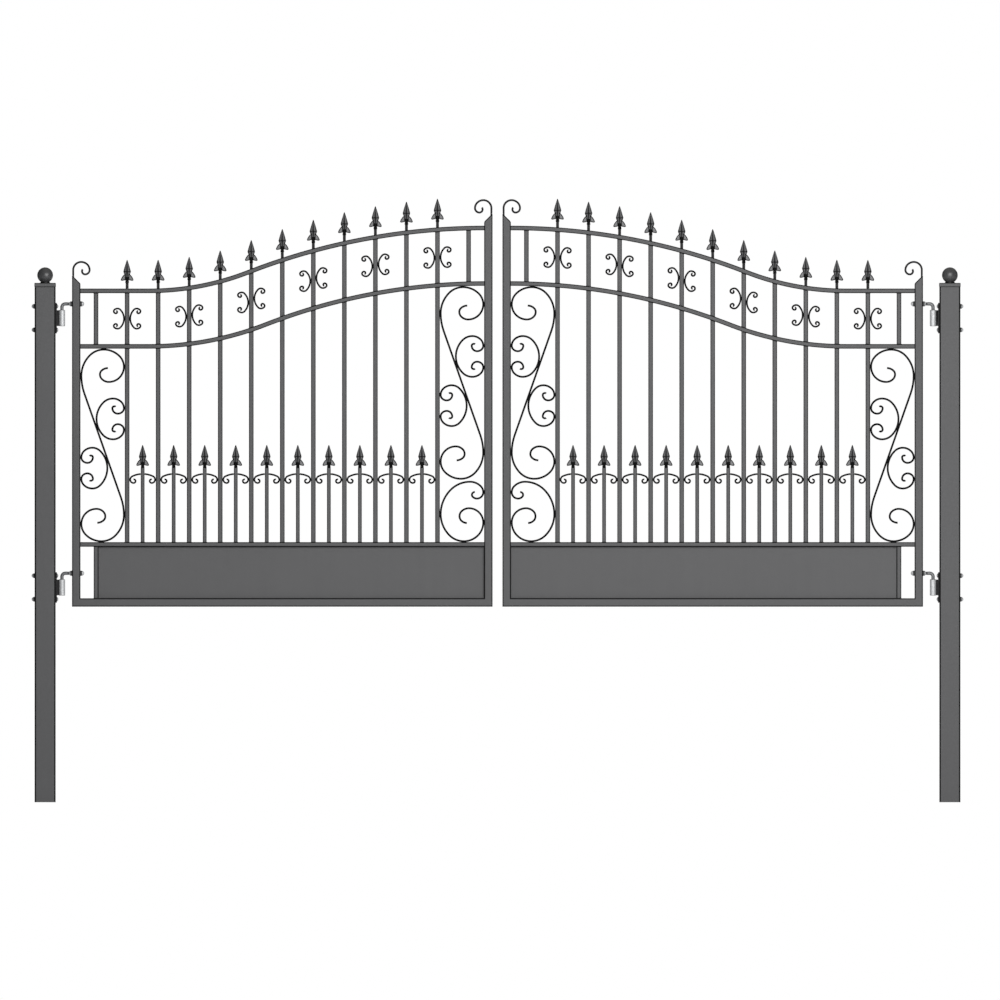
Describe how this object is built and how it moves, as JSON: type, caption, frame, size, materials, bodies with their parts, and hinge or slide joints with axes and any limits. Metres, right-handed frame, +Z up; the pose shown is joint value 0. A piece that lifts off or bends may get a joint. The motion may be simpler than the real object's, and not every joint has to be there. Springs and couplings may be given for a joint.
{
  "type": "double-leaf driveway gate",
  "caption": "Arched double-leaf iron driveway gate with spear tops, scroll panels and square posts; both leaves swing on L-pin hinges.",
  "frame": {"origin": "midway between the two posts, at the level of their feet, on the gate's middle plane", "axes": "+X along the gate towards the right post as seen from the front, +Y through the gate from the front to the back, +Z up"},
  "size_m": [4.431, 0.102, 2.87],
  "materials": {
    "coat": "dark grey powder coat, satin, over galvanised steel",
    "zinc": "bright zinc plate"
  },
  "bodies": {
    "posts": {"left_post": "coat", "right_post": "coat", "post_caps": "coat", "ball_finials": "coat", "hinge_plates": "coat", "hinge_barrels": "zinc", "plate_bolts": "zinc", "plate_dome_nuts": "zinc"},
    "left_leaf": {"left_hinge_stile": "coat", "left_meeting_stile": "coat", "left_top_rail": "coat", "left_band_rail": "coat", "left_mid_rail": "coat", "left_bottom_rail": "coat", "left_stile_scrolls": "coat", "left_lower_bars": "coat", "left_band_bars": "coat", "left_band_uprights": "coat", "left_panel_upright": "coat", "left_kick_panel": "coat", "left_spears": "coat", "left_short_bars": "coat", "left_short_spears": "coat", "left_collar_scrolls": "coat", "left_band_scrolls": "coat", "left_s_scrolls": "coat", "left_c_scrolls": "coat", "left_base_scroll": "coat", "left_hinge_pins": "zinc", "left_lock_nuts": "zinc", "left_dome_nuts": "zinc"},
    "right_leaf": {"right_hinge_stile": "coat", "right_meeting_stile": "coat", "right_top_rail": "coat", "right_band_rail": "coat", "right_mid_rail": "coat", "right_bottom_rail": "coat", "right_stile_scrolls": "coat", "right_lower_bars": "coat", "right_band_bars": "coat", "right_band_uprights": "coat", "right_panel_upright": "coat", "right_kick_panel": "coat", "right_spears": "coat", "right_short_bars": "coat", "right_short_spears": "coat", "right_collar_scrolls": "coat", "right_band_scrolls": "coat", "right_s_scrolls": "coat", "right_c_scrolls": "coat", "right_base_scroll": "coat", "right_hinge_pins": "zinc", "right_lock_nuts": "zinc", "right_dome_nuts": "zinc"}
  },
  "joints": [
    {"name": "left_leaf_swing", "type": "hinge", "parent": "posts", "child": "left_leaf", "pos_m": [-2.0715, 0, 1.7], "axis": [0, 0, 1], "range_deg": [-90, 90]},
    {"name": "right_leaf_swing", "type": "hinge", "parent": "posts", "child": "right_leaf", "pos_m": [2.0715, 0, 1.7], "axis": [0, 0, -1], "range_deg": [-90, 90]}
  ]
}
